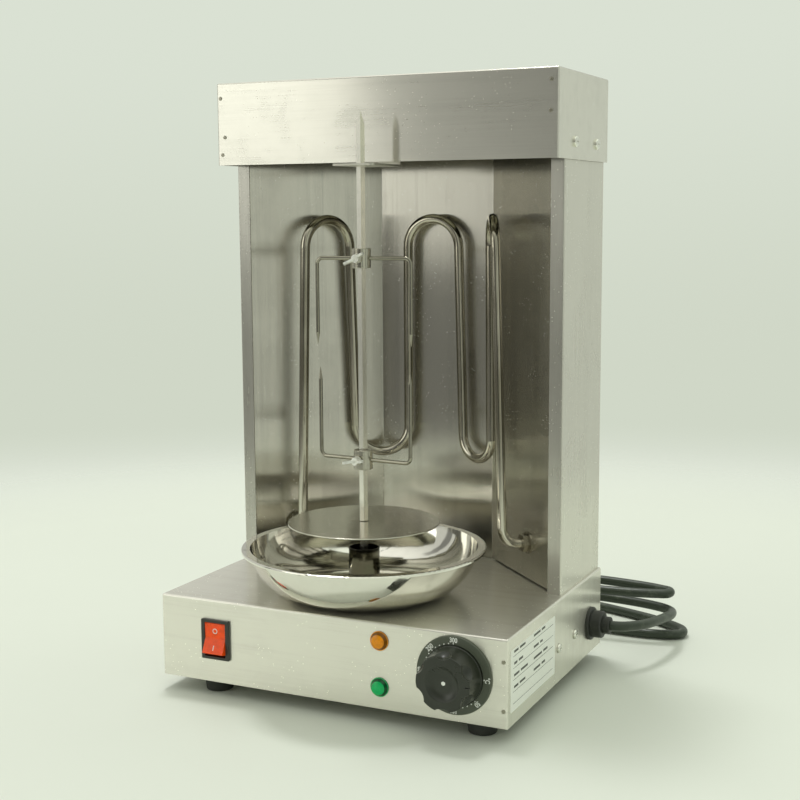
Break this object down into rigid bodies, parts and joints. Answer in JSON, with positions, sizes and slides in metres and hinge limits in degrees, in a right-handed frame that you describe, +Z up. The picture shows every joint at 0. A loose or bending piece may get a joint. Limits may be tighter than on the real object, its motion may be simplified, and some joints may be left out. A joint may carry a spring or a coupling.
{
  "type": "vertical rotisserie broiler",
  "caption": "Countertop vertical broiler: turning spit with sliding forks and meat disc over a drip bowl, tubular heater and folded reflector in a steel column on a switch base.",
  "frame": {"origin": "middle of the base box's lower rim, 12 mm above the table on which the feet stand", "axes": "+Z up along the spit, +X to the right seen from the front, +Y to the back; the control panel faces -Y"},
  "size_m": [0.3476, 0.383, 0.4761],
  "materials": {
    "panel_steel": "fine horizontal or vertical brushing, satin",
    "reflector_steel": "vertical brushing, brighter than the casing",
    "bowl_steel": "mirror polished stainless steel",
    "spit_steel": "drawn stainless bar and wire, satin",
    "cast_zinc": "bright cast zinc",
    "screw_steel": "bright plated steel",
    "heater_steel": "dark polished sheath, heat tinted",
    "shaft_steel": "turned steel",
    "bronze": "oiled bronze",
    "copper": "enamelled copper winding",
    "magnet": "sintered ferrite",
    "gear_plastic": "natural acetal",
    "ceramic": "unglazed steatite",
    "black_plastic": "moulded satin black",
    "red_rocker": "translucent orange red, glossy",
    "amber_lens": "translucent amber",
    "green_lens": "translucent green",
    "rubber": "black rubber",
    "lead_sleeve": "braided glass sleeving",
    "label": "blank satin label",
    "capillary": "drawn copper"
  },
  "bodies": {
    "base": {"base_housing": "panel_steel", "base_bottom_plate": "panel_steel", "column_shell": "panel_steel", "hood_shell": "panel_steel", "spit_bracket": "panel_steel", "gearbox_cover": "panel_steel", "motor_can": "panel_steel", "bearing_plate": "panel_steel", "reflector": "reflector_steel", "bottom_plate_screws": "screw_steel", "foot_screws": "screw_steel", "panel_rivets": "screw_steel", "column_screws": "screw_steel", "hood_screws": "screw_steel", "heater_bushes": "screw_steel", "heater_fixings": "screw_steel", "motor_mounting": "screw_steel", "side_screws": "screw_steel", "thermostat_screws": "screw_steel", "lamp_nuts": "screw_steel", "plug_pins": "screw_steel", "heater_tube": "heater_steel", "drive_bush": "bronze", "stator_coil": "copper", "heater_terminals": "ceramic", "terminal_block": "ceramic", "switch_body": "black_plastic", "dial_ring": "black_plastic", "cable_gland": "black_plastic", "thermostat": "black_plastic", "amber_lamp": "amber_lens", "green_lamp": "green_lens", "rubber_feet": "rubber", "power_cable": "rubber", "power_plug": "rubber", "lead_grommets": "rubber", "heater_leads": "lead_sleeve", "rating_plate": "label", "thermostat_bulb": "capillary"},
    "drive": {"drive_socket": "shaft_steel", "socket_screw": "screw_steel", "output_shaft": "shaft_steel", "output_gear": "bronze"},
    "rotor": {"rotor_pinion": "gear_plastic", "rotor_shaft": "shaft_steel", "rotor_magnet": "magnet"},
    "spit": {"spit": "spit_steel", "disc_stop": "spit_steel"},
    "disc": {"meat_disc": "spit_steel"},
    "upper_fork": {"upper_fork_collar": "spit_steel", "upper_fork_prongs": "spit_steel"},
    "upper_thumb": {"upper_thumb_screw": "cast_zinc"},
    "lower_fork": {"lower_fork_collar": "spit_steel", "lower_fork_prongs": "spit_steel"},
    "lower_thumb": {"lower_thumb_screw": "cast_zinc"},
    "bowl": {"drip_bowl": "bowl_steel", "bowl_sleeve": "bowl_steel"},
    "knob": {"knob": "black_plastic", "thermostat_spindle": "shaft_steel"},
    "rocker": {"switch_rocker": "red_rocker"}
  },
  "joints": [
    {"name": "drive_spin", "type": "hinge", "parent": "base", "child": "drive", "pos_m": [0, -0.043, 0.06], "axis": [0, 0, 1], "continuous": true},
    {"name": "rotor_spin", "type": "hinge", "parent": "base", "child": "rotor", "pos_m": [0, -0.0269, 0.04], "axis": [0, 0, 1], "continuous": true},
    {"name": "spit_lift", "type": "slide", "parent": "drive", "child": "spit", "axis": [0, 0, 1], "range_m": [0, 0.035]},
    {"name": "disc_slide", "type": "slide", "parent": "spit", "child": "disc", "axis": [0, 0, 1], "range_m": [0, 0.018]},
    {"name": "upper_fork_slide", "type": "slide", "parent": "spit", "child": "upper_fork", "axis": [0, 0, 1], "range_m": [-0.06, 0.022]},
    {"name": "upper_thumb_screw_turn", "type": "hinge", "parent": "upper_fork", "child": "upper_thumb", "pos_m": [0, -0.043, 0.326], "axis": [0.0698, -0.9976, 0], "range_deg": [0, 360]},
    {"name": "lower_fork_slide", "type": "slide", "parent": "spit", "child": "lower_fork", "axis": [0, 0, 1], "range_m": [-0.018, 0.06]},
    {"name": "lower_thumb_screw_turn", "type": "hinge", "parent": "lower_fork", "child": "lower_thumb", "pos_m": [0, -0.043, 0.1715], "axis": [-0.0872, -0.9962, 0], "range_deg": [0, 360]},
    {"name": "bowl_lift", "type": "slide", "parent": "base", "child": "bowl", "axis": [0, 0, 1], "range_m": [0, 0.017]},
    {"name": "knob_turn", "type": "hinge", "parent": "base", "child": "knob", "pos_m": [0.1045, -0.12, 0.0342], "axis": [0, 1, 0], "range_deg": [0, 270]},
    {"name": "rocker_tilt", "type": "hinge", "parent": "base", "child": "rocker", "pos_m": [-0.0953, -0.106, 0.0342], "axis": [1, 0, 0], "range_deg": [0, 24]}
  ],
  "couplings": [
    {"joint": "rotor_spin", "follows": "drive_spin", "ratio": -2.8333}
  ]
}
